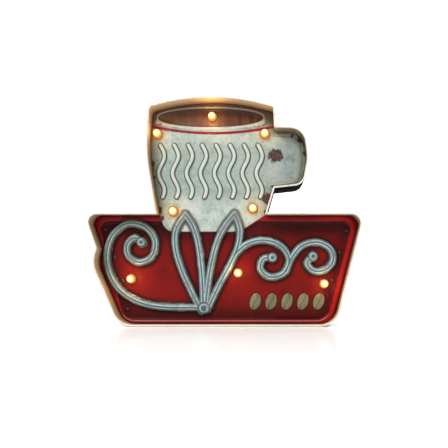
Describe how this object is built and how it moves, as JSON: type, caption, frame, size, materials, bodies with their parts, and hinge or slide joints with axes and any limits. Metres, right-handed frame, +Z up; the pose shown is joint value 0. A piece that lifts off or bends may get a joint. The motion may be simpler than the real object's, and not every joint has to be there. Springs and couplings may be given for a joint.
{
  "type": "illuminated tin advertising sign",
  "caption": "Battery-lit tin sign in the shape of a coffee cup above a red banner, with a deep side band, warm bulbs, embossed scroll, sliding battery door and switch.",
  "frame": {"origin": "on the flat bottom edge, at the middle of the width and of the depth", "axes": "+X to the right as seen from the front, -Y out of the lit front, +Z up"},
  "size_m": [0.3996, 0.045, 0.3349],
  "materials": {
    "side_band": "cream enamel inside and on the hem, satin black outside",
    "printed_plate": "printed tin, red banner with a grey-green cup, satin varnish, aged",
    "bulb_cap": "clear warm plastic, lit from inside",
    "led": "clear epoxy, warm white, lit",
    "lamp_holder": "moulded black plastic",
    "rivet": "small round heads painted over with the banner",
    "plain_steel": "zinc plated sheet",
    "contact_metal": "nickel plated spring strip",
    "black_plastic": "fine textured moulding",
    "cell_sleeve": "printed sleeve without text",
    "red_wire": "soft insulation",
    "black_wire": "soft insulation"
  },
  "bodies": {
    "sign": {"aa_cell_1": "cell_sleeve", "aa_cell_2": "cell_sleeve", "band_banner_left": "side_band", "band_banner_right": "side_band", "band_banner_upper_left": "side_band", "band_cup": "side_band", "band_cup_lower": "side_band", "band_handle": "side_band", "battery_tray": "black_plastic", "bulb_cap_1": "bulb_cap", "bulb_cap_2": "bulb_cap", "bulb_cap_3": "bulb_cap", "bulb_cap_4": "bulb_cap", "bulb_cap_5": "bulb_cap", "bulb_cap_6": "bulb_cap", "bulb_cap_7": "bulb_cap", "bulb_cap_8": "bulb_cap", "face_plate": "printed_plate", "hanger_left": "plain_steel", "hanger_right": "plain_steel", "lamp_holder_1": "lamp_holder", "lamp_holder_2": "lamp_holder", "lamp_holder_3": "lamp_holder", "lamp_holder_4": "lamp_holder", "lamp_holder_5": "lamp_holder", "lamp_holder_6": "lamp_holder", "lamp_holder_7": "lamp_holder", "lamp_holder_8": "lamp_holder", "lamp_wire_minus": "black_wire", "lamp_wire_plus": "red_wire", "led_1": "led", "led_2": "led", "led_3": "led", "led_4": "led", "led_5": "led", "led_6": "led", "led_7": "led", "led_8": "led", "link_contact": "contact_metal", "minus_contact": "contact_metal", "minus_lead": "black_wire", "plate_rivet_1": "rivet", "plate_rivet_2": "rivet", "plate_rivet_3": "rivet", "plate_rivet_4": "rivet", "plate_rivet_5": "rivet", "plate_rivet_6": "rivet", "plate_rivet_7": "rivet", "plate_tab_1": "plain_steel", "plate_tab_2": "plain_steel", "plate_tab_3": "plain_steel", "plate_tab_4": "plain_steel", "plate_tab_5": "plain_steel", "plate_tab_6": "plain_steel", "plate_tab_7": "plain_steel", "plus_contact": "contact_metal", "plus_lead": "red_wire", "switch_body": "plain_steel"},
    "door": {"battery_door": "black_plastic"},
    "slider": {"switch_slider": "black_plastic"}
  },
  "joints": [
    {"name": "battery_door_slide", "type": "slide", "parent": "sign", "child": "door", "axis": [-1, 0, 0], "range_m": [0, 0.055]},
    {"name": "switch_slide", "type": "slide", "parent": "sign", "child": "slider", "axis": [0, 0, -1], "range_m": [0, 0.004]}
  ]
}
